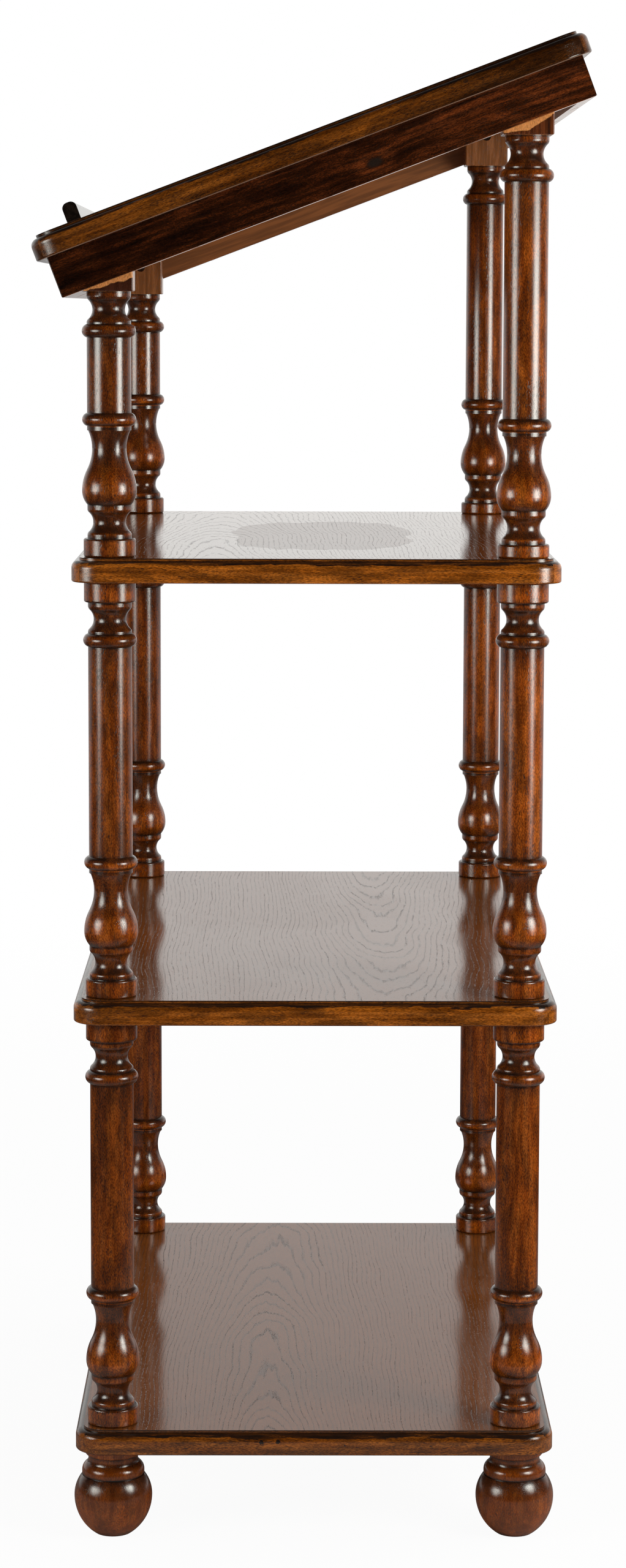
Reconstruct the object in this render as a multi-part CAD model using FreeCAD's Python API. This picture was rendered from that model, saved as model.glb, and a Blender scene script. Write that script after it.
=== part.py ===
import FreeCAD, Part
import math
import os

from FreeCAD import Placement, Rotation, Vector

# Reading stand: three moulded shelves on turned columns and bun feet, under a slanted desk.
# Millimetres. +X is the reader's right, +Y points to the back and +Z is up.
# The origin is on the floor, under the middle of the stand's outline.

# The stand as a whole
SHELF_WIDTH = 700.0
SHELF_DEPTH = 400.0
COLUMN_INSET = 31.0
FOOT_HEIGHT = 75.0
COLUMN_LENGTH = 344.0
FRONT_COLUMN_HEIGHT = 215.0
DESK_SLOPE_DEGREES = 20.7

# Moulded boards: the shelves and the desk
BOARD_THICKNESS = 20.0
VENEER_THICKNESS = 0.8
LIPPING_WIDTH = 22.0
CORNER_RADIUS = 25.0
FILLET_STEP = 2.4
FILLET_LEDGE = 0.6
OVOLO_RADIUS = 6.0
LOWER_ARRIS = 1.6

# Turned columns: projections and depths are measured from the shaft's surface
SHAFT_DIAMETER = 36.0
RING_PROJECTION = 3.2
RING_EASE = 1.6
COLLAR_EASE = 3.2
CAPITAL_EASE = 4.5
BASE_RING_HEIGHT = 15.0
REAR_DESK_RING_HEIGHT = 11.0
BASE_COLLAR_HEIGHT = 4.5
COVE_DEPTH = 4.7
COVE_HEIGHT = 17.6
WAIST_COLLAR_HEIGHT = 5.2
VASE_HEIGHT = 60.5
BELLY_PROJECTION = 4.3
BELLY_HEIGHT_SHARE = 0.19
NECK_DEPTH = 4.0
NECK_HEIGHT_SHARE = 0.76
BELLY_CURVE_SHARE = 0.5
VASE_RIM_INSET = 0.8
VASE_FILLET_HEIGHT = 3.4
BEAD_PROJECTION = 4.0
BEAD_HEIGHT = 10.8
NECK_COLLAR_HEIGHT = 3.0
TOP_COLLAR_HEIGHT = 5.2
TOP_RING_HEIGHT = 17.2

# Square pommels on top of the columns that carry the desk
POMMEL_WIDTH = 41.0
POMMEL_EASE = 1.2
POMMEL_COLLAR_HEIGHT = 5.8
REAR_POMMEL_DROP = 2.2

# Bun feet
FOOT_CONTACT_DIAMETER = 31.0
FOOT_BALL_DIAMETER = 65.5
FOOT_RING_DIAMETER = 52.4
FOOT_NECK_DIAMETER = 43.6
FOOT_PAD_DIAMETER = 47.0
FOOT_PAD_HEIGHT = 7.0
FOOT_NECK_HEIGHT = 6.8
FOOT_NECK_HOLLOW = 0.9
FOOT_RING_HEIGHT = 9.6
FOOT_RING_SIDE_SHARE = 0.25
FOOT_GROOVE_DEPTH = 0.9
FOOT_GROOVE_HEIGHT = 1.2
FOOT_BALL_WIDEST_SHARE = 0.64

# Desk
APRON_HEIGHT = 34.0
APRON_THICKNESS = 16.0
APRON_EASE = 1.0
REAR_APRON_GAP = 6.0
DESK_OVERHANG = 9.5
LEDGE_LENGTH = 600.0
LEDGE_HEIGHT = 18.0
LEDGE_THICKNESS = 12.0
LEDGE_TOP_ROUND = 5.0
LEDGE_SETBACK = 32.0

# Threaded studs through the shelves, and the inserts that they screw into
STUD_DIAMETER = 8.0
STUD_CHAMFER = 1.0
STUD_IN_COLUMN = 32.0
STUD_IN_INSERT = 18.0
INSERT_LENGTH = 20.0
INSERT_WALL = 2.0
HOLE_CLEARANCE = 0.3
HOLE_END_ROOM = 2.0

# Wood screws
SCREW_DIAMETER = 4.0
SCREW_HEAD_DIAMETER = 8.0
SCREW_HEAD_HEIGHT = 2.6
SCREW_POINT = 5.0
SCREW_SLOT_WIDTH = 1.0
SCREW_SLOT_DEPTH = 1.2
POMMEL_SCREW_RECESS = 18.0
POMMEL_SCREW_BITE = 11.0
APRON_SCREW_RECESS = 14.0
APRON_SCREW_BITE = 12.0
LEDGE_SCREW_BITE = 10.0
SIDE_APRON_SCREW_SHARES = (0.25, 0.5, 0.75)
END_APRON_SCREW_SHARES = (-0.3, 0.0, 0.3)
LEDGE_SCREW_SHARES = (-0.35, 0.0, 0.35)

# Sizes that follow from the ones above
SLOPE = math.radians(DESK_SLOPE_DEGREES)
SHAFT_RADIUS = SHAFT_DIAMETER / 2
RING_RADIUS = SHAFT_RADIUS + RING_PROJECTION
FILLET_SETBACK = OVOLO_RADIUS + FILLET_LEDGE
COLUMN_X = SHELF_WIDTH / 2 - COLUMN_INSET
COLUMN_Y = SHELF_DEPTH / 2 - COLUMN_INSET
REAR_COLUMN_HEIGHT = FRONT_COLUMN_HEIGHT + 2 * COLUMN_Y * math.tan(SLOPE)
CAPITAL_HEIGHT = BEAD_HEIGHT + NECK_COLLAR_HEIGHT + COVE_HEIGHT

STUD_HOLE_DIAMETER = STUD_DIAMETER + HOLE_CLEARANCE
INSERT_DIAMETER = STUD_HOLE_DIAMETER + 2 * INSERT_WALL
INSERT_HOLE_DIAMETER = INSERT_DIAMETER + HOLE_CLEARANCE
POMMEL_SCREW_LENGTH = POMMEL_WIDTH - POMMEL_SCREW_RECESS + POMMEL_SCREW_BITE
APRON_SCREW_LENGTH = APRON_HEIGHT - APRON_SCREW_RECESS + APRON_SCREW_BITE
LEDGE_SCREW_LENGTH = BOARD_THICKNESS + LEDGE_SCREW_BITE

SHELF_PITCH = COLUMN_LENGTH + BOARD_THICKNESS
SHELF_UNDERSIDES = {
    "bottom_shelf": FOOT_HEIGHT,
    "middle_shelf": FOOT_HEIGHT + SHELF_PITCH,
    "upper_shelf": FOOT_HEIGHT + 2 * SHELF_PITCH,
}
DESK_POST_BASE = SHELF_UNDERSIDES["upper_shelf"] + BOARD_THICKNESS
CORNERS = {
    "front_left": (-1, -1),
    "front_right": (1, -1),
    "rear_left": (-1, 1),
    "rear_right": (1, 1),
}

# The desk is drawn flat: x across, y up the slope from the front apron's outer face,
# z off the aprons' underside.
# The slope starts where the front pommels' lower front edge meets the front apron.
POMMEL_SPAN = 2 * COLUMN_Y + POMMEL_WIDTH
DESK_INNER_LENGTH = (POMMEL_SPAN + APRON_HEIGHT * math.sin(SLOPE)) / math.cos(SLOPE) + REAR_APRON_GAP
DESK_FRAME_LENGTH = DESK_INNER_LENGTH + 2 * APRON_THICKNESS
DESK_FRAME_WIDTH = 2 * COLUMN_X + POMMEL_WIDTH + 2 * APRON_THICKNESS
DESK_WIDTH = DESK_FRAME_WIDTH + 2 * DESK_OVERHANG
DESK_LENGTH = DESK_FRAME_LENGTH + 2 * DESK_OVERHANG
DESK_START_Y = -POMMEL_SPAN / 2 - APRON_THICKNESS * math.cos(SLOPE)
DESK_START_Z = DESK_POST_BASE + FRONT_COLUMN_HEIGHT - APRON_THICKNESS * math.sin(SLOPE)
LEDGE_MIDDLE = LEDGE_SETBACK - DESK_OVERHANG + LEDGE_THICKNESS / 2


def slope_y(along, off):
    """Distance back from the columns' middle of a point on the desk's section."""
    return DESK_START_Y + along * math.cos(SLOPE) - off * math.sin(SLOPE)


def outline_middle():
    """Middle of the stand's outline from front to back, measured from the columns' middle."""
    nose_centre = BOARD_THICKNESS - FILLET_STEP - OVOLO_RADIUS
    nose = slope_y(OVOLO_RADIUS - DESK_OVERHANG, APRON_HEIGHT + nose_centre) - OVOLO_RADIUS
    heel = slope_y(DESK_FRAME_LENGTH - APRON_EASE, APRON_EASE) + APRON_EASE
    tail_along = DESK_FRAME_LENGTH + DESK_OVERHANG - LOWER_ARRIS
    tail = slope_y(tail_along, APRON_HEIGHT + LOWER_ARRIS) + LOWER_ARRIS
    front = min(nose, -SHELF_DEPTH / 2)
    rear = max(heel, tail, SHELF_DEPTH / 2)
    return (front + rear) / 2


COLUMNS_MIDDLE_Y = -outline_middle()
DESK_PLACEMENT = Placement(
    Vector(0, COLUMNS_MIDDLE_Y + DESK_START_Y, DESK_START_Z),
    Rotation(Vector(1, 0, 0), DESK_SLOPE_DEGREES),
)


def upright_arc_middle(upright, other):
    """Middle of the arc between two outline points that runs straight up at the first of them."""
    run = upright.x - other.x
    rise = other.z - upright.z
    radius = (run ** 2 + rise ** 2) / (2 * run)
    half_turn = math.atan2(rise / radius, 1 - run / radius) / 2
    centre_x = upright.x - radius
    return Vector(centre_x + radius * math.cos(half_turn), 0, upright.z + radius * math.sin(half_turn))


class TurnedOutline:
    """Half outline of a turned piece, drawn upwards beside the Z axis and spun about it."""

    def __init__(self, height=0.0):
        self.edges = []
        self.eases = []
        self.start = Vector(0, 0, height)
        self.at = self.start

    def line(self, radius, height):
        end = Vector(radius, 0, height)
        self.edges.append(Part.makeLine(self.at, end))
        self.at = end

    def arc(self, middle, end):
        self.edges.append(Part.Arc(self.at, middle, end).toShape())
        self.at = end

    def rise(self, height):
        self.line(self.at.x, self.at.z + height)

    def rise_to(self, height):
        self.line(self.at.x, height)

    def step(self, radius):
        self.line(radius, self.at.z)

    def bow(self, depth, height):
        """Curve out, or in for a negative depth, and back to the same radius."""
        middle = Vector(self.at.x + depth, 0, self.at.z + height / 2)
        self.arc(middle, Vector(self.at.x, 0, self.at.z + height))

    def swell_up(self, radius, height):
        """Curve to a new radius and end running straight up."""
        end = Vector(radius, 0, self.at.z + height)
        self.arc(upright_arc_middle(end, self.at), end)

    def swell_away(self, radius, height):
        """Start running straight up and curve to a new radius."""
        end = Vector(radius, 0, self.at.z + height)
        self.arc(upright_arc_middle(self.at, end), end)

    def ease(self, radius):
        """Round the corner where the outline now stands, once it is spun."""
        self.eases.append((self.at, radius))

    def ring(self, radius, height):
        """Plain ring with both edges eased."""
        inner = radius - RING_EASE
        eased = RING_EASE * math.sqrt(0.5)
        self.step(inner)
        low = self.at.z + RING_EASE
        high = self.at.z + height - RING_EASE
        self.arc(Vector(inner + eased, 0, low - eased), Vector(radius, 0, low))
        self.rise_to(high)
        self.arc(Vector(inner + eased, 0, high + eased), Vector(inner, 0, high + RING_EASE))

    def solid(self):
        if self.at.x > 0:
            self.step(0)
        self.edges.append(Part.makeLine(self.at, self.start))
        face = Part.Face(Part.Wire(self.edges))
        solid = face.revolve(Vector(0, 0, 0), Vector(0, 0, 1), 360)
        for corner, radius in self.eases:
            solid = solid.makeFillet(radius, [corner_circle(solid, corner)])
        return solid


def corner_circle(solid, corner):
    """The circle that an outline's corner draws on a spun solid."""
    circles = [edge for edge in solid.Edges if isinstance(edge.Curve, Part.Circle) and edge.isClosed()]

    def distance(edge):
        return abs(edge.Curve.Radius - corner.x) + abs(edge.Curve.Center.z - corner.z)

    return min(circles, key=distance)


def moved(shape, x, y, z):
    copy = shape.copy()
    copy.translate(Vector(x, y, z))
    return copy


def cylinder(diameter, low, high):
    return Part.makeCylinder(diameter / 2, high - low, Vector(0, 0, low))


def centred_box(width, depth, low, high):
    return Part.makeBox(width, depth, high - low, Vector(-width / 2, -depth / 2, low))


def prism(points, push):
    """Solid between a closed flat outline and its copy pushed along a vector."""
    face = Part.Face(Part.makePolygon(points + points[:1]))
    return face.extrude(push)


def level_edges(shape, height):
    """Edges that lie wholly at the height of a shape's top or bottom."""
    near = shape.BoundBox.ZLength / 4
    level = []
    for edge in shape.Edges:
        box = edge.BoundBox
        if abs(box.ZMin - height) < near and abs(box.ZMax - height) < near:
            level.append(edge)
    return level


# Boards

def rounded_slab(width, depth, radius, low, high):
    slab = centred_box(width, depth, low, high)
    corners = [edge for edge in slab.Edges if edge.BoundBox.ZLength > (high - low) / 2]
    return slab.makeFillet(radius, corners)


def moulded_board(width, depth):
    """Board with an ovolo edge, a fillet step above it and an eased arris below."""
    shoulder = BOARD_THICKNESS - FILLET_STEP
    body = rounded_slab(width, depth, CORNER_RADIUS, 0, shoulder)
    body = body.makeFillet(OVOLO_RADIUS, level_edges(body, shoulder))
    body = body.makeFillet(LOWER_ARRIS, level_edges(body, 0))
    top = rounded_slab(
        width - 2 * FILLET_SETBACK,
        depth - 2 * FILLET_SETBACK,
        CORNER_RADIUS - FILLET_SETBACK,
        shoulder,
        BOARD_THICKNESS,
    )
    return body.fuse(top).removeSplitter()


def mitred_sides(ring, width, depth, border, height):
    """The four sides of a rectangular ring, cut apart along its mitres."""
    x = width / 2
    y = depth / 2
    outer = Vector(-x, -y, 0)
    inner = Vector(-x + border, -y + border, 0)
    left = [outer, inner, Vector(inner.x, -inner.y, 0), Vector(outer.x, -outer.y, 0)]
    front = [outer, Vector(-outer.x, outer.y, 0), Vector(-inner.x, inner.y, 0), inner]
    up = Vector(0, 0, height)
    plans = (("left", left, 1), ("right", left, -1), ("front", front, 1), ("rear", front, -1))
    sides = {}
    for name, points, sign in plans:
        corners = [point * sign for point in points]
        sides[name] = ring.common(prism(corners, up)).Solids[0]
    return sides


def board_pieces(board, width, depth):
    """A moulded board taken apart into its core, its top veneer and its four lippings."""
    veneer_base = BOARD_THICKNESS - VENEER_THICKNESS
    veneer_room = centred_box(width, depth, veneer_base, BOARD_THICKNESS)
    core_room = centred_box(width - 2 * LIPPING_WIDTH, depth - 2 * LIPPING_WIDTH, 0, veneer_base)
    pieces = {
        "core": board.common(core_room).Solids[0],
        "veneer": board.common(veneer_room).Solids[0],
    }
    ring = board.cut(Part.makeCompound([core_room, veneer_room]))
    for name, side in mitred_sides(ring, width, depth, LIPPING_WIDTH, BOARD_THICKNESS).items():
        pieces["lipping_" + name] = side
    return pieces


def shelf_pieces():
    board = moulded_board(SHELF_WIDTH, SHELF_DEPTH)
    hole = cylinder(STUD_HOLE_DIAMETER, 0, BOARD_THICKNESS)
    holes = [moved(hole, side * COLUMN_X, end * COLUMN_Y, 0) for side, end in CORNERS.values()]
    return board_pieces(board.cut(Part.makeCompound(holes)), SHELF_WIDTH, SHELF_DEPTH)


# Turned pieces

def turn_base(outline, ring_height):
    """Base ring, cove, vase and bead at the foot of every column."""
    outline.ring(RING_RADIUS, ring_height)
    outline.step(SHAFT_RADIUS)
    outline.rise(BASE_COLLAR_HEIGHT)
    outline.ease(COLLAR_EASE)
    outline.bow(-COVE_DEPTH, COVE_HEIGHT)
    outline.ease(COLLAR_EASE)
    outline.rise(WAIST_COLLAR_HEIGHT)
    turn_vase(outline)
    outline.step(SHAFT_RADIUS)
    outline.rise(VASE_FILLET_HEIGHT)
    outline.bow(BEAD_PROJECTION, BEAD_HEIGHT)


def turn_vase(outline):
    belly_rise = BELLY_HEIGHT_SHARE * VASE_HEIGHT
    neck_rise = NECK_HEIGHT_SHARE * VASE_HEIGHT
    belly_radius = SHAFT_RADIUS + BELLY_PROJECTION
    neck_radius = SHAFT_RADIUS - NECK_DEPTH
    turning_radius = belly_radius + (neck_radius - belly_radius) * BELLY_CURVE_SHARE
    turning_rise = (neck_rise - belly_rise) * BELLY_CURVE_SHARE
    outline.swell_up(belly_radius, belly_rise)
    outline.swell_away(turning_radius, turning_rise)
    outline.swell_up(neck_radius, neck_rise - belly_rise - turning_rise)
    outline.swell_away(SHAFT_RADIUS - VASE_RIM_INSET, VASE_HEIGHT - neck_rise)


def turn_capital(outline):
    """Bead, collar and cove at the head of every column."""
    outline.bow(BEAD_PROJECTION, BEAD_HEIGHT)
    outline.rise(NECK_COLLAR_HEIGHT)
    outline.ease(COLLAR_EASE)
    outline.bow(-COVE_DEPTH, COVE_HEIGHT)
    outline.ease(CAPITAL_EASE)


def stud_bore():
    return cylinder(STUD_HOLE_DIAMETER, 0, STUD_IN_COLUMN + HOLE_END_ROOM)


def insert_bore(top):
    return cylinder(INSERT_HOLE_DIAMETER, top - INSERT_LENGTH - HOLE_END_ROOM, top)


def column():
    """Column between two shelves."""
    outline = TurnedOutline()
    turn_base(outline, BASE_RING_HEIGHT)
    outline.rise_to(COLUMN_LENGTH - TOP_RING_HEIGHT - TOP_COLLAR_HEIGHT - CAPITAL_HEIGHT)
    turn_capital(outline)
    outline.rise(TOP_COLLAR_HEIGHT)
    outline.ring(RING_RADIUS, TOP_RING_HEIGHT)
    return outline.solid().cut(stud_bore()).cut(insert_bore(COLUMN_LENGTH))


def pommel(drop):
    """Square head of a desk column, cut off along the desk's slope; it hangs below the aprons by drop."""
    half = POMMEL_WIDTH / 2
    low_top = drop + APRON_HEIGHT / math.cos(SLOPE)
    high_top = low_top + POMMEL_WIDTH * math.tan(SLOPE)
    points = [
        Vector(-half, -half, 0),
        Vector(-half, half, 0),
        Vector(-half, half, high_top),
        Vector(-half, -half, low_top),
    ]
    block = prism(points, Vector(POMMEL_WIDTH, 0, 0))
    upright = [edge for edge in block.Edges if edge.BoundBox.ZLength > low_top / 2]
    return block.makeFillet(POMMEL_EASE, upright + level_edges(block, 0))


def desk_column(height, ring_height, drop):
    """Column from the upper shelf to the desk, turned in one piece with its pommel."""
    pommel_base = height - drop
    outline = TurnedOutline()
    turn_base(outline, ring_height)
    outline.rise_to(pommel_base - POMMEL_COLLAR_HEIGHT - CAPITAL_HEIGHT)
    turn_capital(outline)
    outline.rise(POMMEL_COLLAR_HEIGHT)
    turned = outline.solid().fuse(moved(pommel(drop), 0, 0, pommel_base))
    return turned.cut(stud_bore())


def foot():
    ball_height = FOOT_HEIGHT - FOOT_PAD_HEIGHT - FOOT_NECK_HEIGHT - FOOT_RING_HEIGHT - FOOT_GROOVE_HEIGHT
    widest = FOOT_BALL_WIDEST_SHARE * ball_height
    ring_side = FOOT_RING_SIDE_SHARE * FOOT_RING_HEIGHT
    ring_radius = FOOT_RING_DIAMETER / 2
    outline = TurnedOutline()
    outline.step(FOOT_CONTACT_DIAMETER / 2)
    outline.swell_up(FOOT_BALL_DIAMETER / 2, widest)
    outline.swell_away(ring_radius, ball_height - widest)
    outline.step(ring_radius - FOOT_GROOVE_DEPTH)
    outline.rise(FOOT_GROOVE_HEIGHT)
    outline.step(ring_radius)
    outline.rise(ring_side)
    outline.swell_away(FOOT_NECK_DIAMETER / 2, FOOT_RING_HEIGHT - ring_side)
    outline.bow(-FOOT_NECK_HOLLOW, FOOT_NECK_HEIGHT)
    outline.ring(FOOT_PAD_DIAMETER / 2, FOOT_PAD_HEIGHT)
    return outline.solid().cut(insert_bore(FOOT_HEIGHT))


# Fasteners

def stud():
    """Threaded stud, its lower end at zero."""
    length = STUD_IN_INSERT + BOARD_THICKNESS + STUD_IN_COLUMN
    radius = STUD_DIAMETER / 2
    outline = TurnedOutline()
    outline.step(radius - STUD_CHAMFER)
    outline.line(radius, STUD_CHAMFER)
    outline.rise_to(length - STUD_CHAMFER)
    outline.line(radius - STUD_CHAMFER, length)
    return outline.solid()


def insert():
    """Threaded insert, its mouth at zero."""
    body = cylinder(INSERT_DIAMETER, -INSERT_LENGTH, 0)
    return body.cut(cylinder(STUD_HOLE_DIAMETER, -INSERT_LENGTH, 0))


def wood_screw(length):
    """Slotted countersunk screw along +Z, the face of its head at zero."""
    outline = TurnedOutline()
    outline.step(SCREW_HEAD_DIAMETER / 2)
    outline.line(SCREW_DIAMETER / 2, SCREW_HEAD_HEIGHT)
    outline.rise_to(length - SCREW_POINT)
    outline.line(0, length)
    slot = centred_box(SCREW_HEAD_DIAMETER, SCREW_SLOT_WIDTH, 0, SCREW_SLOT_DEPTH)
    return outline.solid().cut(slot)


def screw_hole(length, recess):
    """Room for a wood screw whose head lies a recess deep."""
    head_radius = (SCREW_HEAD_DIAMETER + HOLE_CLEARANCE) / 2
    shank_radius = (SCREW_DIAMETER + HOLE_CLEARANCE) / 2
    outline = TurnedOutline(-recess)
    outline.step(head_radius)
    if recess > 0:
        outline.rise_to(0)
    outline.line(shank_radius, SCREW_HEAD_HEIGHT)
    outline.rise_to(length + HOLE_CLEARANCE)
    return outline.solid()


def apron_screw_places():
    """Across and along places of the screws that rise through the aprons."""
    side_x = (DESK_FRAME_WIDTH - APRON_THICKNESS) / 2
    front_y = APRON_THICKNESS / 2
    rear_y = DESK_FRAME_LENGTH - front_y
    places = []
    for share in SIDE_APRON_SCREW_SHARES:
        places.append((-side_x, share * DESK_FRAME_LENGTH))
        places.append((side_x, share * DESK_FRAME_LENGTH))
    for share in END_APRON_SCREW_SHARES:
        places.append((share * DESK_FRAME_WIDTH, front_y))
        places.append((share * DESK_FRAME_WIDTH, rear_y))
    return places


def on_apron_screws(shape):
    return [moved(shape, x, y, APRON_SCREW_RECESS) for x, y in apron_screw_places()]


def on_ledge_screws(shape):
    return [moved(shape, share * LEDGE_LENGTH, LEDGE_MIDDLE, APRON_HEIGHT) for share in LEDGE_SCREW_SHARES]


def on_pommel_screws(shape):
    """Copies of a screw or its hole, driven outwards through each pommel into the side apron."""
    rise = (POMMEL_WIDTH * math.tan(SLOPE) + APRON_HEIGHT / math.cos(SLOPE)) / 2
    copies = []
    for side, end in CORNERS.values():
        height = FRONT_COLUMN_HEIGHT if end < 0 else REAR_COLUMN_HEIGHT
        head_x = side * (COLUMN_X - POMMEL_WIDTH / 2 + POMMEL_SCREW_RECESS)
        head = Vector(head_x, COLUMNS_MIDDLE_Y + end * COLUMN_Y, DESK_POST_BASE + height + rise)
        copy = shape.copy()
        copy.Placement = Placement(head, Rotation(Vector(0, 0, 1), Vector(side, 0, 0)))
        copies.append(copy)
    return copies


def pommel_screw_holes():
    return Part.makeCompound(on_pommel_screws(screw_hole(POMMEL_SCREW_LENGTH, POMMEL_SCREW_RECESS)))


# Desk, drawn flat

def apron_frame():
    """Mitred frame of four aprons."""
    middle_y = DESK_FRAME_LENGTH / 2
    outer = centred_box(DESK_FRAME_WIDTH, DESK_FRAME_LENGTH, 0, APRON_HEIGHT)
    upright = [edge for edge in outer.Edges if edge.BoundBox.ZLength > APRON_HEIGHT / 2]
    outer = outer.makeFillet(APRON_EASE, upright + level_edges(outer, 0))
    inner_width = DESK_FRAME_WIDTH - 2 * APRON_THICKNESS
    ring = outer.cut(centred_box(inner_width, DESK_INNER_LENGTH, 0, APRON_HEIGHT))
    holes = Part.makeCompound(on_apron_screws(screw_hole(APRON_SCREW_LENGTH, APRON_SCREW_RECESS)))
    sides = mitred_sides(ring, DESK_FRAME_WIDTH, DESK_FRAME_LENGTH, APRON_THICKNESS, APRON_HEIGHT)
    return {name: moved(side, 0, middle_y, 0).cut(holes) for name, side in sides.items()}


def desk_board_pieces():
    board = moulded_board(DESK_WIDTH, DESK_LENGTH)
    apron_holes = on_apron_screws(screw_hole(APRON_SCREW_LENGTH, APRON_SCREW_RECESS))
    ledge_holes = on_ledge_screws(screw_hole(LEDGE_SCREW_LENGTH, 0))
    middle_y = DESK_FRAME_LENGTH / 2
    holes = [moved(hole, 0, -middle_y, -APRON_HEIGHT) for hole in apron_holes + ledge_holes]
    pieces = board_pieces(board.cut(Part.makeCompound(holes)), DESK_WIDTH, DESK_LENGTH)
    return {name: moved(piece, 0, middle_y, APRON_HEIGHT) for name, piece in pieces.items()}


def book_ledge():
    """Stop that keeps a book from sliding off the desk."""
    low = APRON_HEIGHT + BOARD_THICKNESS
    bar = centred_box(LEDGE_LENGTH, LEDGE_THICKNESS, low, low + LEDGE_HEIGHT)
    top = level_edges(bar, low + LEDGE_HEIGHT)
    long_edges = [edge for edge in top if edge.BoundBox.XLength > LEDGE_LENGTH / 2]
    bar = bar.makeFillet(LEDGE_TOP_ROUND, long_edges)
    holes = Part.makeCompound(on_ledge_screws(screw_hole(LEDGE_SCREW_LENGTH, 0)))
    return moved(bar, 0, LEDGE_MIDDLE, 0).cut(holes)


def sloped(shape):
    """A piece of the flat desk, tilted and set on its columns."""
    copy = shape.copy()
    copy.Placement = DESK_PLACEMENT.multiply(copy.Placement)
    return copy


def sloped_group(shapes):
    return Part.makeCompound([sloped(shape) for shape in shapes])


# Assembly

def at_corners(shape, height):
    """A copy of a piece at each of the four columns."""
    copies = {}
    for corner, (side, end) in CORNERS.items():
        copies[corner] = moved(shape, side * COLUMN_X, COLUMNS_MIDDLE_Y + end * COLUMN_Y, height)
    return copies


def export(name, shape):
    shape.exportStep("parts/" + name + ".step")


def export_feet_and_columns():
    standing = (
        ("foot", foot(), 0),
        ("lower_column", column(), SHELF_UNDERSIDES["bottom_shelf"] + BOARD_THICKNESS),
        ("middle_column", column(), SHELF_UNDERSIDES["middle_shelf"] + BOARD_THICKNESS),
    )
    for name, shape, height in standing:
        for corner, copy in at_corners(shape, height).items():
            export(name + "_" + corner, copy)
    front_post = desk_column(FRONT_COLUMN_HEIGHT, BASE_RING_HEIGHT, 0)
    rear_post = desk_column(REAR_COLUMN_HEIGHT, REAR_DESK_RING_HEIGHT, REAR_POMMEL_DROP)
    front = at_corners(front_post, DESK_POST_BASE)
    rear = at_corners(rear_post, DESK_POST_BASE)
    screw_holes = pommel_screw_holes()
    for corner, (_, end) in CORNERS.items():
        post = front[corner] if end < 0 else rear[corner]
        export("upper_column_" + corner, post.cut(screw_holes))


def export_shelves():
    pieces = shelf_pieces()
    inserted = {"bottom_shelf": "foot", "middle_shelf": "lower_column", "upper_shelf": "middle_column"}
    for shelf, height in SHELF_UNDERSIDES.items():
        for name, piece in pieces.items():
            export(shelf + "_" + name, moved(piece, 0, COLUMNS_MIDDLE_Y, height))
        studs = at_corners(stud(), height - STUD_IN_INSERT)
        inserts = at_corners(insert(), height)
        export(shelf + "_studs", Part.makeCompound(list(studs.values())))
        export(inserted[shelf] + "_inserts", Part.makeCompound(list(inserts.values())))


def export_desk():
    screw_holes = pommel_screw_holes()
    for name, apron in apron_frame().items():
        export("apron_" + name, sloped(apron).cut(screw_holes))
    for name, piece in desk_board_pieces().items():
        export("desk_" + name, sloped(piece))
    export("book_ledge", sloped(book_ledge()))
    export("pommel_screws", Part.makeCompound(on_pommel_screws(wood_screw(POMMEL_SCREW_LENGTH))))
    export("apron_screws", sloped_group(on_apron_screws(wood_screw(APRON_SCREW_LENGTH))))
    export("ledge_screws", sloped_group(on_ledge_screws(wood_screw(LEDGE_SCREW_LENGTH))))


os.makedirs("parts", exist_ok=True)
export_feet_and_columns()
export_shelves()
export_desk()
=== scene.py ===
import math

import bpy
from mathutils import Matrix, Vector


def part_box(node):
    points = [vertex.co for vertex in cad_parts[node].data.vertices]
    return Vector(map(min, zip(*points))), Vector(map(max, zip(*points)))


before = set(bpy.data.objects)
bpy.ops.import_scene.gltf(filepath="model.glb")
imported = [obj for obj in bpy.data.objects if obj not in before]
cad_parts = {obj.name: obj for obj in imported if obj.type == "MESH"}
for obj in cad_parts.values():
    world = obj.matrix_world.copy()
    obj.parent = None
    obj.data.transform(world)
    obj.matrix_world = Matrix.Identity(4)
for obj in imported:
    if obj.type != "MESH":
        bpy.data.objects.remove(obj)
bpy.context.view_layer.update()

bl_info = {
    "name": "Reading stand finishes",
    "version": (1, 0, 0),
    "blender": (4, 5, 0),
    "location": "3D View > Sidebar > Reading stand",
    "description": "Lacquered wood, veneer and fittings for a slant-topped reading stand, and its studio",
    "category": "Object",
}

CORNERS = ("front_left", "front_right", "rear_left", "rear_right")
SIDES = ("front", "rear", "left", "right")
SHELVES = ("bottom_shelf", "middle_shelf", "upper_shelf")

MM = 0.001
UP = Vector((0, 0, 1))
NOWHERE = (0.0, 0.0, 0.0)
WHITE = (1.0, 1.0, 1.0, 1.0)
BLACK = (0.0, 0.0, 0.0, 1.0)

# Columns: the ring on top of a shelf column, and the collar above the cove in a column's head
TOP_RING = 17.2 * MM
COLLAR_ABOVE_HEAD = 5.2 * MM
POMMEL_COLLAR = 5.8 * MM
# Desk columns: height below the pommel, half a pommel's width, and what the rear ones lack at their foot
FRONT_POST = 215.0 * MM
REAR_POST = 340.5 * MM
POMMEL_HALF = 20.5 * MM
REAR_POST_CUT = 4.0 * MM

# Bare wedges on the pommels below the aprons: where they are deepest, how far they reach, and how deep
BARE_FRONT = (18.0 * MM, 42.0 * MM, 3.8 * MM)
BARE_REAR = (0.0, 26.0 * MM, 5.0 * MM)

# The point that both softboxes face, and the floor's width
SOFTBOX_AIM = Vector((0.0, 0.0, 0.75))
FLOOR_WIDTH = 60.0
# Share of a softbox over which it brightens from its sides
SOFT_SIDES = 0.4
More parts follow.
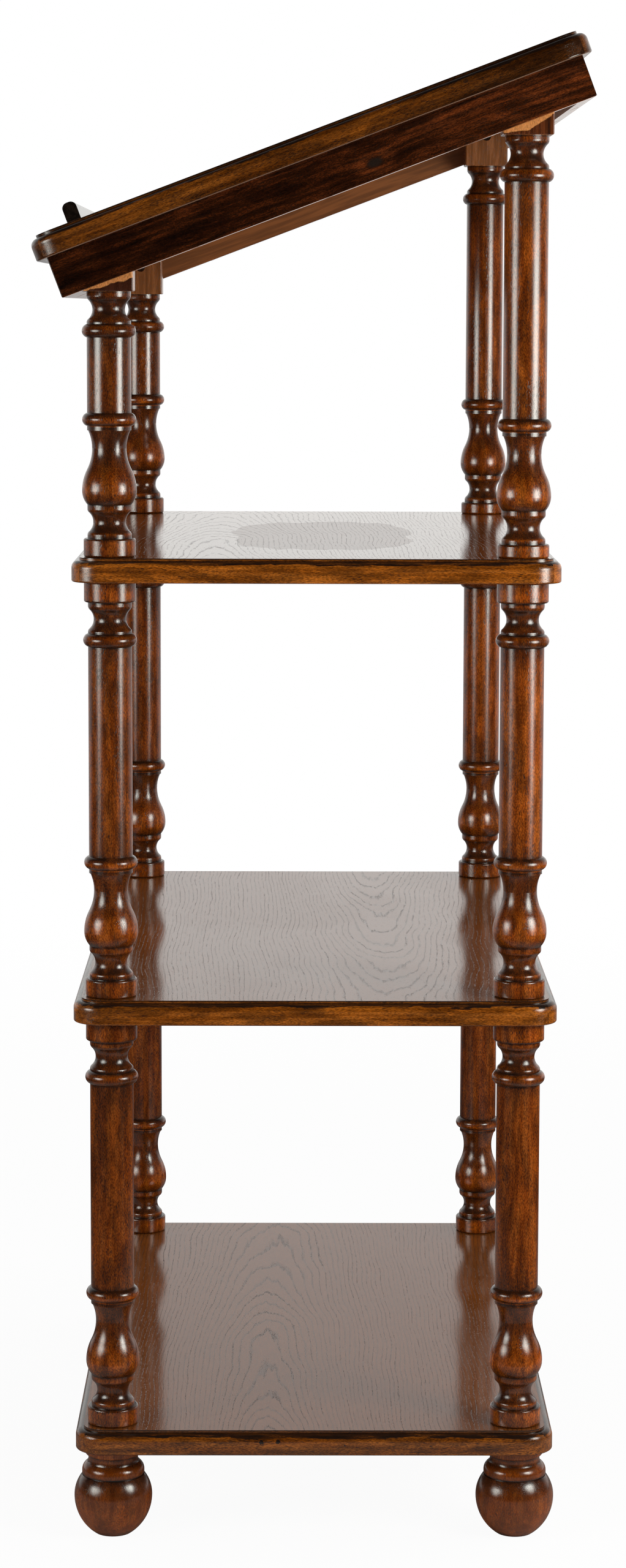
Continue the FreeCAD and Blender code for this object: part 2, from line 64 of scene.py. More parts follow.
# How bright a softbox is, by share of its height from its lower edge
SOFTBOX_GLOW = (
    (0.0, 0.02), (0.09, 0.36), (0.18, 0.58), (0.28, 0.66), (0.42, 0.82), (0.58, 1.0), (0.78, 0.95),
    (0.90, 0.42), (1.0, 0.02),
)

# Specular level of the thick lacquer on turned and moulded pieces, and roughness of faces left without it
LACQUER = 0.7
DULL = 0.34
# How far the grain spreads the lacquer's roughness, and how much smoother the aprons are than turned wood
TURNED_SPREAD = 0.06
LIPPING_SPREAD = 0.08
LEDGE_SPREAD = 0.04
APRON_POLISH = 0.06
# What single places add to the roughness
PORE_DULLING = 0.04
FOOT_DULLING = 0.2
POMMEL_DULLING = 0.08
UNDERSIDE_DULLING = 0.05
VENEER_PORE_DULLING = 0.3
CLOUD_DULLING = 0.05
PATCH_DULLING = 0.07

# Grain: how dark the pores are, and how high the fibres stand and how deep the pores lie in the relief
PORE_STAIN = 0.92
FIBRE_HEIGHT = 0.16
PORE_DEPTH = 0.5
# How even the feet's colour is: 0 as the columns, 1 without any grain
FOOT_EVENNESS = 0.38
# Strength of each finish's relief
TURNED_RELIEF = 0.28
LIPPING_RELIEF = 0.3
VENEER_RELIEF = 0.45
VENEER_PORE_DEPTH = 0.13 * MM
PANEL_RELIEF = 0.3
APRON_RELIEF = 0.2
LEDGE_RELIEF = 0.15
METAL_RELIEF = 0.15

# Growth rings in the veneer: their width, and how far they wave and jag
RING_WIDTH = 3.6 * MM
RING_WAVE = 26.0 * MM
RING_JAG = 2.4 * MM

# Below 1, how much darker than the rest a turned piece is; above 1, how much paler its shaft is
TURNED_TONES = {
    "upper_column_front_right": 0.77,
    "upper_column_rear_right": 1.15,
    "upper_column_rear_left": 1.15,
    "middle_column_rear_right": 1.30,
    "middle_column_front_right": 0.96,
    "middle_column_rear_left": 1.35,
    "lower_column_rear_right": 1.06,
    "lower_column_front_right": 0.86,
}

# Tones of the lippings of the bottom, middle and upper shelf, and of the desk
SHELF_TONES = (1.0, 1.16, 1.48)
DESK_TONE = 0.9
# How dark the lippings' patches are, and how much darker the desk's lippings are at their far end
SHELF_SHADOW = 0.25
DESK_SHADOW = 0.4
DESK_FADE = 0.6

# The desk's own frame: the foot of the front apron's outer face, and the slope
DESK_SLOPE = math.radians(20.7)
DESK_ORIGIN = Vector((0.0, -0.200442, 1.032344))
DESK_TILT = Matrix.Rotation(DESK_SLOPE, 3, "X")
DESK_NORMAL = DESK_TILT @ UP
APRON_HEIGHT = 34.0 * MM
APRON_THICKNESS = 16.0 * MM
APRON_LENGTH = 456.0 * MM
APRON_HALF_WIDTH = 355.5 * MM
DESK_OVERHANG = 9.5 * MM
BOARD_THICKNESS = 20.0 * MM
LEDGE_MIDDLE = 28.5 * MM

# Glaze with painted shade and light on a column beside its shaft: millimetres above its foot, and how
# bright.
# Below 1 the glaze stayed in the grooves and shade is painted, above 1 it was rubbed off the crests and
# light is painted.
BASE_GLAZE_AND_SHADING = (
    (0.0, 0.25), (1.5, 0.92), (4.0, 1.25), (9.0, 1.48), (11.8, 1.52), (13.4, 0.85), (15.2, 0.12),
    (16.8, 0.55), (18.6, 1.25), (19.8, 0.48), (21.2, 0.28), (25.0, 0.38), (29.0, 0.56), (34.0, 0.46),
    (35.8, 0.32), (38.6, 1.0), (40.6, 0.85), (42.3, 0.12), (45.0, 0.60), (49.0, 1.05), (53.0, 1.62),
    (57.0, 1.58), (64.0, 1.18), (75.0, 0.66), (83.0, 0.58), (90.0, 0.62), (100.0, 0.60), (103.0, 0.50),
    (105.0, 0.15), (106.2, 1.30), (107.4, 0.15), (110.0, 1.50),
)
# The same from the crest of the base's bead up to the shaft
BEAD_GLAZE_AND_SHADING = (
    (110.0, 1.50), (112.0, 1.18), (113.8, 0.58), (116.0, 0.15), (117.6, 0.40), (119.5, 0.75),
    (127.0, 0.85), (150.0, 1.0),
)
# The same down from the top of a column's head cove, from the ring above it
HEAD_GLAZE_AND_SHADING = (
    (-22.4, 0.60), (-19.0, 0.80), (-15.0, 1.45), (-9.0, 1.45), (-6.4, 0.90), (-3.0, 0.90), (0.0, 0.45),
    (1.2, 0.15), (5.0, 0.48), (9.0, 0.42), (11.5, 0.24), (13.5, 0.30), (16.0, 0.55), (18.6, 0.55),
    (20.8, 0.12), (23.2, 1.25), (26.0, 0.80), (28.5, 0.55), (31.2, 0.12), (33.5, 0.65), (38.0, 0.70),
    (50.0, 0.86), (70.0, 1.0),
)
# The same up a foot from the floor
FOOT_GLAZE_AND_SHADING = (
    (0.0, 0.80), (6.0, 1.40), (14.0, 1.50), (24.0, 1.25), (36.0, 0.92), (44.0, 0.50), (49.6, 0.28),
    (51.2, 0.10), (53.0, 1.00), (57.0, 1.20), (60.6, 0.70), (62.0, 0.30), (65.0, 0.90), (67.8, 0.30),
    (69.2, 1.35), (72.0, 1.60), (74.2, 0.90), (75.0, 0.20),
)

# Where each veneer's arched figure lies: across, depth of the cut, and lean along the leaf
VENEER_FIGURES = {
    "bottom_shelf_veneer": (-0.040, 0.046, -0.060),
    "middle_shelf_veneer": (0.062, 0.048, 0.062),
    "upper_shelf_veneer": (-0.085, 0.046, -0.058),
    "desk_veneer": (0.030, 0.046, 0.060),
}

# A dulled patch on the upper shelf: its middle across and along the leaf, and half its size
DULL_PATCH = (0.006, 0.035, 0.082, 0.200)

# A knot in the right apron: along it from the middle, and up from its lower edge
APRON_KNOT = (0.0439, 0.0128)
# Dark specks in the bottom shelf's right lipping: along it, up from its lower edge, and size
LIPPING_SPECKS = (
    (-0.0444, 0.0116, 1.9 * MM),
    (-0.0301, 0.0122, 1.9 * MM),
    (0.0255, 0.0090, 0.6 * MM),
)


def colour(label, note, value):
    return bpy.props.FloatVectorProperty(
        name=label, description=note, default=value, size=3, subtype="COLOR", min=0.0, max=1.0
    )


def share(label, note, value):
    return bpy.props.FloatProperty(
        name=label, description=note, default=value, min=0.0, max=1.0, subtype="FACTOR"
    )


def position(label, note, value):
    return bpy.props.FloatVectorProperty(
        name=label, description=note, default=value, size=3, subtype="TRANSLATION", unit="LENGTH"
    )


def extent(label, note, value):
    return bpy.props.FloatVectorProperty(
        name=label, description=note, default=value, size=2, min=0.0, unit="LENGTH"
    )


def power(label, note, value):
    return bpy.props.FloatProperty(name=label, description=note, default=value, min=0.0, unit="POWER")


class StandFinish(bpy.types.PropertyGroup):
    """Colours and gloss of the stand's finishes."""

    turned_dark: colour("Turned dark", "Darkest streaks of the turned wood", (0.098, 0.0178, 0.0011))
    turned_mid: colour("Turned middle", "Main brown of the turned wood", (0.128, 0.0264, 0.0015))
    turned_light: colour("Turned light", "Palest streaks of the turned wood", (0.165, 0.0390, 0.0025))
    # Glaze colour, also used for painted shade in the columns' grooves, the lippings' fillets and the
    # veneers' edges
    glaze_and_shade: colour("Glaze and painted shade", "Dark glaze left in the grooves", (0.0120, 0.0055, 0.0035))
    lipping_dark: colour("Lipping dark", "Darkest streaks of the lippings", (0.112, 0.0275, 0.0016))
    lipping_mid: colour("Lipping middle", "Main brown of the lippings", (0.155, 0.0410, 0.0026))
    lipping_light: colour("Lipping light", "Palest streaks of the lippings", (0.205, 0.0580, 0.0042))
    # Painted highlight along the desk lippings' lower arris
    painted_arris_highlight: colour("Painted arris highlight", "Pale line along the desk's lower edge", (0.165, 0.092, 0.060))
    veneer_dark: colour("Veneer dark", "Early wood of the veneer", (0.092, 0.0270, 0.0055))
    veneer_light: colour("Veneer light", "Late wood of the veneer", (0.160, 0.0480, 0.0095))
    pore: colour("Pores", "Open pores of all the woods", (0.0110, 0.0050, 0.0030))
    apron_dark: colour("Apron dark", "Darkest streaks of the aprons", (0.0095, 0.0026, 0.0009))
    apron_mid: colour("Apron middle", "Main brown of the aprons", (0.0250, 0.0058, 0.0014))
    apron_light: colour("Apron light", "Red streaks of the aprons", (0.0560, 0.0120, 0.0026))
    inner_wood: colour("Inner wood", "Dull brown of faces turned inwards", (0.215, 0.0720, 0.0190))
    raw_wood: colour("Raw wood", "Bare wood beside the aprons' lower edges", (0.600, 0.2400, 0.0700))
    ledge: colour("Ledge", "Near black of the book ledge", (0.0140, 0.0085, 0.0060))
    steel: colour("Steel", "Studs and screws", (0.430, 0.4250, 0.4150))
    brass: colour("Brass", "Threaded inserts", (0.520, 0.3300, 0.1000))
    turned_roughness: share("Turned roughness", "Roughness of the lacquer on turned pieces", 0.15)
    board_roughness: share("Board roughness", "Roughness of the lacquer on shelves and desk", 0.10)


class StandStage(bpy.types.PropertyGroup):
    """Camera, lamps and room."""

    camera_place: position("Camera place", "Where the camera stands", (3.26125, -0.01475, 1.02489))
    camera_turn: bpy.props.FloatVectorProperty(
        name="Camera turn", description="Pitch down, yaw and roll of the camera", size=3, subtype="EULER",
        unit="ROTATION", default=(math.radians(6.7686), math.radians(-0.3174), math.radians(0.1554)),
    )
    lens: bpy.props.FloatProperty(
        name="Lens", description="Focal length on a sensor 36 mm long", default=82.738, min=1.0,
        unit="CAMERA",
    )
    rise: bpy.props.FloatProperty(
        name="Rise", description="Vertical shift of the lens", default=-0.03073, subtype="FACTOR"
    )
    left_box_place: position("Left softbox", "Its place on the camera's left", (1.40, -1.985, 0.86))
    left_box_size: extent("Left size", "Width and height of the left softbox", (1.72, 1.18))
    left_box_power: power("Left power", "Power of the left softbox", 60.0)
    right_box_place: position("Right softbox", "Its place on the camera's right", (1.02, 1.13, 0.825))
    right_box_size: extent("Right size", "Width and height of the right softbox", (0.95, 0.89))
    right_box_power: power("Right power", "Power of the right softbox", 39.0)
    box_colour: colour("Softboxes", "Light of the softboxes, a little short of blue", (0.985, 1.0, 0.93))
    floor_colour: colour("Floor", "Pale floor", (0.86, 0.86, 0.86))
    backdrop: colour("Backdrop", "Backdrop as the lacquer mirrors it", (1.0, 0.995, 0.972))
    room_dim: share("Dim side", "Brightness of the room on the camera's side", 0.015)


class Nodes:
    """Adds nodes to one tree and links them."""

    def __init__(self, tree):
        self.tree = tree

    def new(self, kind, inputs=None, **settings):
        node = self.tree.nodes.new(kind)
        for name, value in settings.items():
            setattr(node, name, value)
        for key, value in (inputs or {}).items():
            self.feed(node.inputs[key], value)
        return node

    def feed(self, socket, value):
        if isinstance(value, bpy.types.NodeSocket):
            self.tree.links.new(value, socket)
        else:
            socket.default_value = value

    def math(self, operation, first, second=0.0):
        return self.new("ShaderNodeMath", {0: first, 1: second}, operation=operation).outputs[0]

    def times(self, first, second):
        return self.math("MULTIPLY", first, second)

    def plus(self, first, second):
        return self.math("ADD", first, second)

    def minus(self, first, second):
        return self.math("SUBTRACT", first, second)

    def larger(self, first, second):
        return self.math("MAXIMUM", first, second)

    def vector(self, operation, first, second=NOWHERE, output="Vector"):
        node = self.new("ShaderNodeVectorMath", {0: first, 1: second}, operation=operation)
        return node.outputs[output]

    def scaled(self, place, factors):
        return self.vector("MULTIPLY", place, factors)

    def shifted(self, place, offset):
        return self.vector("ADD", place, offset)

    def length(self, place):
        return self.vector("LENGTH", place, output="Value")

    def dot(self, first, second):
        return self.vector("DOT_PRODUCT", first, second, output="Value")

    def stretched(self, place, across, along):
        return self.scaled(place, (across, across, along))

    def noise(self, place, scale=1.0, detail=2.0, roughness=0.5):
        inputs = {"Vector": place, "Scale": scale, "Detail": detail, "Roughness": roughness}
        return self.new("ShaderNodeTexNoise", inputs).outputs[0]

    def cells(self, place):
        return self.new("ShaderNodeTexVoronoi", {"Vector": place, "Scale": 1.0})

    def ranged(self, value, low, high, to_low=0.0, to_high=1.0):
        inputs = {"Value": value, "From Min": low, "From Max": high, "To Min": to_low, "To Max": to_high}
        return self.new("ShaderNodeMapRange", inputs, interpolation_type="SMOOTHSTEP").outputs[0]

    def mix(self, factor, first, second):
        return self.new("ShaderNodeMix", {0: factor, 6: first, 7: second}, data_type="RGBA").outputs[2]

    def shade(self, colour_value, amount):
        """The colour times a value."""
        return self.new(
            "ShaderNodeMix", {0: 1.0, 6: colour_value, 7: amount}, data_type="RGBA", blend_type="MULTIPLY"
        ).outputs[2]

    def ramp(self, value, stops):
        node = self.new("ShaderNodeValToRGB", {0: value})
        elements = node.color_ramp.elements
        while len(elements) < len(stops):
            elements.new(1.0)
        positions, tones = zip(*stops)
        for element, position in zip(elements, positions):
            element.position = position
        for element, tone in zip(elements, tones):
            element.color = opaque(tone) if hasattr(tone, "__len__") else (tone, tone, tone, 1.0)
        return node.outputs[0]

    def split(self, place):
        return self.new("ShaderNodeSeparateXYZ", {0: place}).outputs


def opaque(tone):
    return (tone[0], tone[1], tone[2], 1.0)


def start_group(name, inputs, outputs):
    """An empty shader group with its named sockets, its nodes, its way in and its way out."""
    tree = bpy.data.node_groups.new(name, "ShaderNodeTree")
    for label, kind in inputs:
        tree.interface.new_socket(name=label, in_out="INPUT", socket_type="NodeSocket" + kind)
    for label in outputs:
        tree.interface.new_socket(name=label, in_out="OUTPUT", socket_type="NodeSocketFloat")
    nodes = Nodes(tree)
    return nodes, nodes.new("NodeGroupInput").outputs, nodes.new("NodeGroupOutput").inputs


def group(name, build):
    """A shader group by name, built the first time that it is asked for."""
    found = bpy.data.node_groups.get(name)
    return found or build(name)


def straight_grain(name):
    """Streaks, mottling, fibres and open pores that run along Z."""
    results = ["Streaks", "Mottle", "Fibre", "Pores"]
    nodes, way_in, way_out = start_group(name, [("Vector", "Vector")], results)
    place = way_in["Vector"]
    wander = nodes.noise(nodes.stretched(place, 30.0, 8.0), detail=2.0)
    bent = nodes.shifted(place, nodes.scaled(wander, (12.0 * MM, 12.0 * MM, 0.0)))
    streak = nodes.noise(nodes.stretched(bent, 260.0, 15.0), detail=4.0, roughness=0.6)
    nodes.feed(way_out["Streaks"], nodes.ranged(streak, 0.3, 0.7))
    mottle = nodes.noise(nodes.stretched(bent, 90.0, 32.0), detail=4.0, roughness=0.6)
    nodes.feed(way_out["Mottle"], nodes.ranged(mottle, 0.32, 0.68))
    fine = nodes.noise(nodes.stretched(bent, 1500.0, 520.0), detail=3.0, roughness=0.6)
    nodes.feed(way_out["Fibre"], nodes.ranged(fine, 0.32, 0.68))
    dashes = nodes.cells(nodes.stretched(bent, 1600.0, 230.0))
    dash = nodes.ranged(dashes.outputs["Distance"], 0.42, 0.25)
    chance = nodes.ranged(nodes.split(dashes.outputs["Color"])[0], 0.42, 0.5)
    crowd = nodes.ranged(nodes.noise(nodes.stretched(bent, 60.0, 14.0), detail=2.0), 0.38, 0.6, 0.35, 1.0)
    nodes.feed(way_out["Pores"], nodes.times(nodes.times(dash, chance), crowd))
    return nodes.tree


def rubbed_marks(name):
    """Small dark flecks and dents, far apart."""
    nodes, way_in, way_out = start_group(name, [("Vector", "Vector")], ["Marks"])
    flecks = nodes.cells(nodes.stretched(way_in["Vector"], 58.0, 34.0))
    spot = nodes.ranged(flecks.outputs["Distance"], 0.11, 0.05)
    rare = nodes.ranged(nodes.split(flecks.outputs["Color"])[1], 0.72, 0.8)
    nodes.feed(way_out["Marks"], nodes.times(spot, rare))
    return nodes.tree


def glaze_and_shading_ramp(nodes, height, table):
    """The share that a table gives at a height; a ramp holds half of it, since its colours stop at 1."""
    low, high = table[0][0], table[-1][0]
    stops = [((spot - low) / (high - low), tone / 2) for spot, tone in table]
    place = nodes.math("DIVIDE", nodes.minus(height, low * MM), (high - low) * MM)
    return nodes.times(nodes.ramp(place, stops), 2.0)


def column_glaze_and_shading(name):
    """What the glaze and the painted shade and light leave of a column's tone, and a mask of its plain
    shaft.

    Both follow the height above the column's foot and the drop below its head cove.
    """
    sockets = [("Height", "Float"), ("Drop", "Float"), ("Collar", "Float")]
    nodes, way_in, way_out = start_group(name, sockets, ["Tone", "Shaft"])
    base = glaze_and_shading_ramp(nodes, way_in["Height"], BASE_GLAZE_AND_SHADING)
    bead = glaze_and_shading_ramp(nodes, way_in["Height"], BEAD_GLAZE_AND_SHADING)
    past_bead = nodes.math("GREATER_THAN", way_in["Height"], BEAD_GLAZE_AND_SHADING[0][0] * MM)
    base = nodes.new("ShaderNodeMix", {0: past_bead, 2: base, 3: bead}).outputs[0]
    head = glaze_and_shading_ramp(nodes, way_in["Drop"], HEAD_GLAZE_AND_SHADING)
    above = nodes.math("ABSOLUTE", nodes.plus(way_in["Drop"], way_in["Collar"]))
    joint = nodes.ranged(above, 2.4 * MM, 0.2 * MM, 1.0, 0.15)
    nodes.feed(way_out["Tone"], nodes.times(nodes.times(base, head), joint))
    above_base = nodes.ranged(way_in["Height"], 117.0 * MM, 130.0 * MM)
    shaft = nodes.times(above_base, nodes.ranged(way_in["Drop"], 33.0 * MM, 46.0 * MM))
    nodes.feed(way_out["Shaft"], shaft)
    return nodes.tree


def foot_glaze_and_shading(name):
    """What the glaze and the painted shade and light leave of a foot's tone, by height above the floor.
    """
    nodes, way_in, way_out = start_group(name, [("Height", "Float")], ["Tone"])
    nodes.feed(way_out["Tone"], glaze_and_shading_ramp(nodes, way_in["Height"], FOOT_GLAZE_AND_SHADING))
    return nodes.tree


def arched_figure(name):
    """Growth rings of a flat-cut leaf along Z, with pores crowded into the early wood."""
    sockets = [("Vector", "Vector"), ("Across", "Float"), ("Depth", "Float"), ("Lean", "Float")]
    nodes, way_in, way_out = start_group(name, sockets, ["Rings", "Fibre", "Pores", "Cloud"])
    place = way_in["Vector"]
    wave = nodes.noise(nodes.stretched(place, 8.0, 4.0), detail=2.0)
    jag = nodes.noise(nodes.stretched(place, 200.0, 9.0), detail=2.0)
    spot = nodes.split(place)
    across = nodes.minus(spot["X"], way_in["Across"])
    depth = nodes.plus(way_in["Depth"], nodes.times(spot["Z"], way_in["Lean"]))
    radius = nodes.math("SQRT", nodes.plus(nodes.times(across, across), nodes.times(depth, depth)))
    radius = nodes.plus(radius, nodes.times(wave, RING_WAVE))
    radius = nodes.plus(radius, nodes.times(jag, RING_JAG))
    turns = nodes.math("DIVIDE", radius, RING_WIDTH)
    phase = nodes.math("FRACT", turns)
    ring = nodes.math("FLOOR", turns)
    lot = nodes.new("ShaderNodeTexWhiteNoise", {"W": ring}, noise_dimensions="1D").outputs[0]
    early = nodes.times(nodes.ranged(phase, 0.0, 0.05), nodes.ranged(phase, 0.32, 0.08))
    nodes.feed(way_out["Rings"], early)
    nodes.feed(way_out["Fibre"], nodes.noise(nodes.stretched(place, 1400.0, 80.0), detail=3.0))
    sway = nodes.noise(nodes.stretched(place, 60.0, 24.0), detail=2.0)
    swayed = nodes.shifted(place, nodes.scaled(sway, (3.0 * MM, 0.0, 0.0)))
    dashes = nodes.cells(nodes.stretched(swayed, 4000.0, 280.0))
    dash = nodes.ranged(dashes.outputs["Distance"], 0.5, 0.25)
    crowd = nodes.plus(nodes.times(early, 0.95), 0.06)
    chance = nodes.split(dashes.outputs["Color"])[0]
    kept = nodes.ranged(nodes.minus(crowd, chance), -0.05, 0.1)
    broken = nodes.ranged(nodes.noise(nodes.stretched(place, 420.0, 40.0), detail=3.0), 0.38, 0.5)
    strength = nodes.times(broken, nodes.ranged(lot, 0.0, 1.0, 0.45, 1.0))
    nodes.feed(way_out["Pores"], nodes.times(nodes.times(dash, kept), strength))
    cloud = nodes.noise(nodes.stretched(place, 6.0, 3.0), detail=3.0)
    nodes.feed(way_out["Cloud"], nodes.ranged(cloud, 0.46, 0.56))
    return nodes.tree


class PieceMaterial:
    """A material whose pattern sits in the piece's own frame: Z along the grain, and Y up."""

    def __init__(self, node, origin, along, up, seed):
        self.material = bpy.data.materials.new(node + "_finish")
        self.material.use_nodes = True
        self.material.node_tree.nodes.clear()
        self.nodes = Nodes(self.material.node_tree)
        across = up.cross(along)
        turn = Matrix((across, up, along)).transposed().to_euler("XYZ")
        spot = self.nodes.new("ShaderNodeTexCoord").outputs["Object"]
        mapping = self.nodes.new("ShaderNodeMapping", {"Vector": spot}, vector_type="TEXTURE")
        mapping.inputs["Location"].default_value = origin
        mapping.inputs["Rotation"].default_value = turn
        self.place = mapping.outputs[0]
        offset = (0.31 * seed, 0.17 * seed, 0.53 * seed)
        self.pattern = self.nodes.shifted(self.place, offset)
        self.x, self.y, self.z = self.nodes.split(self.place)

    def effect(self, name, build, **inputs):
        node = self.nodes.new("ShaderNodeGroup", node_tree=group(name, build))
        for label, value in inputs.items():
            self.nodes.feed(node.inputs[label], value)
        return node.outputs

    def reach(self, along, up):
        """The way from a spot on a side piece's outer face, along it and up it."""
        parts = {0: self.nodes.minus(self.z, along), 1: self.nodes.minus(self.y, up)}
        return self.nodes.new("ShaderNodeCombineXYZ", parts).outputs[0]

    def grain(self, pattern=None):
        place = self.pattern if pattern is None else pattern
        return self.effect("Straight grain", straight_grain, Vector=place)

    def finish(self, node, base, roughness, height, strength, depth=0.2 * MM, metallic=0.0, specular=0.5):
        nodes = self.nodes
        bump = nodes.new("ShaderNodeBump", {"Strength": strength, "Distance": depth, "Height": height})
        inputs = {"Base Color": base, "Roughness": roughness, "Metallic": metallic, "IOR": 1.5,
                  "Specular IOR Level": specular, "Normal": bump.outputs[0]}
        shader = nodes.new("ShaderNodeBsdfPrincipled", inputs)
        output = nodes.new("ShaderNodeOutputMaterial")
        nodes.feed(output.inputs["Surface"], shader.outputs[0])
        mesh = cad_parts[node].data
        mesh.materials.clear()
        mesh.materials.append(self.material)


def toned(stains, tone):
    return [Vector(stain) * tone for stain in stains]


def stained(piece, grain, dark, middle, light, settings):
    """Stained wood: streaks from dark to light, mottling, fibres, and dark pores."""
    nodes = piece.nodes
    base = nodes.ramp(grain["Streaks"], [(0.0, dark), (0.5, middle), (1.0, light)])
    base = nodes.shade(base, nodes.ranged(grain["Mottle"], 0.0, 1.0, 0.66, 1.42))
    base = nodes.shade(base, nodes.ranged(grain["Fibre"], 0.0, 1.0, 0.56, 1.48))
    return nodes.mix(nodes.times(grain["Pores"], PORE_STAIN), base, opaque(settings.pore))


def pores_and_fibre(nodes, grain):
    """Height of the surface: pores sunk, fibres raised."""
    return nodes.minus(nodes.times(grain["Fibre"], FIBRE_HEIGHT), nodes.times(grain["Pores"], PORE_DEPTH))


def pored_gloss(nodes, grain, smooth, spread):
    """Roughness of lacquer over grain: a little uneven, and dull in the pores."""
    even = nodes.ranged(grain["Streaks"], 0.0, 1.0, smooth, smooth + spread)
    return nodes.plus(even, nodes.times(grain["Pores"], PORE_DULLING))


def glazed_and_shaded(piece, base, tone, settings):
    """Darkens a colour for glaze left in the grooves and for painted shade, and brightens it for glaze
    rubbed off the crests and for painted light, unevenly.
    """
    nodes = piece.nodes
    blotches = nodes.noise(nodes.stretched(piece.pattern, 150.0, 110.0), detail=4.0, roughness=0.65)
    # Above 1 the tone brightens: glaze rubbed off the crests, and painted light
    lightened = nodes.larger(nodes.minus(tone, 1.0), 0.0)
    lightened = nodes.times(lightened, nodes.ranged(blotches, 0.35, 0.62, 1.35, 0.5))
    base = nodes.shade(base, nodes.plus(lightened, 1.0))
    # Below 1 the glaze colour darkens: glaze left in the grooves, and painted shade
    left = nodes.times(nodes.minus(1.0, tone), nodes.ranged(blotches, 0.3, 0.62, 0.75, 1.2))
    return nodes.mix(left, base, opaque(settings.glaze_and_shade))


def turned_origin(node):
    """The middle of a turned piece's foot."""
    low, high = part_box(node)
    return Vector(((low.x + high.x) / 2, (low.y + high.y) / 2, low.z))


def turned_wood(node, seed, settings):
    """A turned piece's material, its stained colour and its grain."""
    piece = PieceMaterial(node, turned_origin(node), UP, Vector((0, 1, 0)), seed)
    grain = piece.grain()
    stains = (settings.turned_dark, settings.turned_mid, settings.turned_light)
    darker = min(TURNED_TONES.get(node, 1.0), 1.0)
    return piece, stained(piece, grain, *toned(stains, darker), settings), grain


def finish_turned(piece, node, base, grain, settings, dull=None, dulling=0.0):
    """Lacquers a turned piece, duller by some roughness where a mask says."""
    nodes = piece.nodes
    gloss = pored_gloss(nodes, grain, settings.turned_roughness, TURNED_SPREAD)
    if dull is not None:
        gloss = nodes.plus(gloss, nodes.times(dull, dulling))
    relief = pores_and_fibre(nodes, grain)
    piece.finish(node, base, gloss, relief, strength=TURNED_RELIEF, specular=LACQUER)


def finish_foot(node, seed, settings):
    """A foot, more even than the columns and dull where it nears the floor."""
    piece, base, grain = turned_wood(node, seed, settings)
    nodes = piece.nodes
    base = nodes.mix(FOOT_EVENNESS, base, opaque(settings.turned_mid))
    # Glaze with painted shade and light along the foot's profile
    tone = piece.effect("Foot finish", foot_glaze_and_shading, Height=piece.z)["Tone"]
    base = glazed_and_shaded(piece, base, tone, settings)
    low = nodes.ranged(piece.z, 40.0 * MM, 6.0 * MM)
    finish_turned(piece, node, base, grain, settings, low, FOOT_DULLING)


def column_wood(node, seed, settings, head, collar, cut=0.0):
    """A column's material, its glazed colour and its grain."""
    piece, base, grain = turned_wood(node, seed, settings)
    nodes = piece.nodes
    drop = nodes.minus(head, piece.z)
    rise = nodes.plus(piece.z, cut)
    # Glaze with painted shade and light along the column's profile
    finish = piece.effect("Column finish", column_glaze_and_shading, Height=rise, Drop=drop, Collar=collar)
    paler = max(TURNED_TONES.get(node, 1.0), 1.0)
    base = nodes.shade(base, nodes.ranged(finish["Shaft"], 0.0, 1.0, 1.0, paler))
    return piece, glazed_and_shaded(piece, base, finish["Tone"], settings), grain


def finish_shelf_column(node, seed, settings):
    """A turned column between a shelf and what stands on it."""
    low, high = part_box(node)
    head = high.z - low.z - TOP_RING - COLLAR_ABOVE_HEAD
    piece, base, grain = column_wood(node, seed, settings, head, COLLAR_ABOVE_HEAD)
    finish_turned(piece, node, base, grain, settings)


def finish_desk_column(node, seed, settings, post, cut):
    """A turned column whose square pommel is dull inside the desk and bare beside the apron."""
    head = post - POMMEL_COLLAR
    piece, base, grain = column_wood(node, seed, settings, head, POMMEL_COLLAR, cut)
    nodes = piece.nodes
    origin = turned_origin(node)
    in_front = origin.y < 0.0
    pommel = nodes.math("GREATER_THAN", piece.z, post - 0.2 * MM)
    outward = nodes.times(piece.x, math.copysign(1.0, origin.x))
    outer = nodes.ranged(outward, POMMEL_HALF - 1.4 * MM, POMMEL_HALF - 0.4 * MM)
    dull = nodes.shade(opaque(settings.inner_wood), nodes.ranged(grain["Streaks"], 0.0, 1.0, 0.72, 1.3))
    dull = nodes.mix(nodes.times(grain["Pores"], 0.5), dull, opaque(settings.pore))
    streak = settings.apron_light if in_front else settings.turned_mid
    dark = nodes.ramp(grain["Streaks"], [(0.0, settings.apron_mid), (1.0, streak)])
    below = DESK_NORMAL.dot(origin - DESK_ORIGIN)
    off = nodes.plus(nodes.dot(piece.place, DESK_NORMAL), below)
    ragged = nodes.noise(nodes.stretched(piece.pattern, 90.0, 160.0), detail=3.0)
    peak, reach, depth = BARE_FRONT if in_front else BARE_REAR
    spot = nodes.math("ABSOLUTE", nodes.minus(piece.y, peak))
    edge = nodes.plus(off, nodes.ranged(spot, 0.0, reach, depth, 0.6 * MM))
    edge = nodes.plus(edge, nodes.times(nodes.minus(ragged, 0.5), 5.0 * MM))
    bare = nodes.ranged(edge, -0.4 * MM, 0.4 * MM)
    tan = nodes.shade(opaque(settings.raw_wood), nodes.ranged(grain["Fibre"], 0.0, 1.0, 0.7, 1.15))
    face = nodes.mix(outer, dull, nodes.mix(bare, dark, tan))
    base = nodes.mix(pommel, base, face)
    finish_turned(piece, node, base, grain, settings, pommel, POMMEL_DULLING)


def side_direction(side):
    """The way along a side piece, such that its own X runs in from its outer face."""
    return {
        "right": Vector((0, 1, 0)),
        "left": Vector((0, -1, 0)),
        "front": Vector((1, 0, 0)),
        "rear": Vector((-1, 0, 0)),
    }[side]


def shelf_side_origin(node, side):
    low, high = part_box(node)
    middle = (low + high) / 2
    x = {"right": high.x, "left": low.x}.get(side, middle.x)
    y = {"front": low.y, "rear": high.y}.get(side, middle.y)
    return Vector((x, y, low.z))


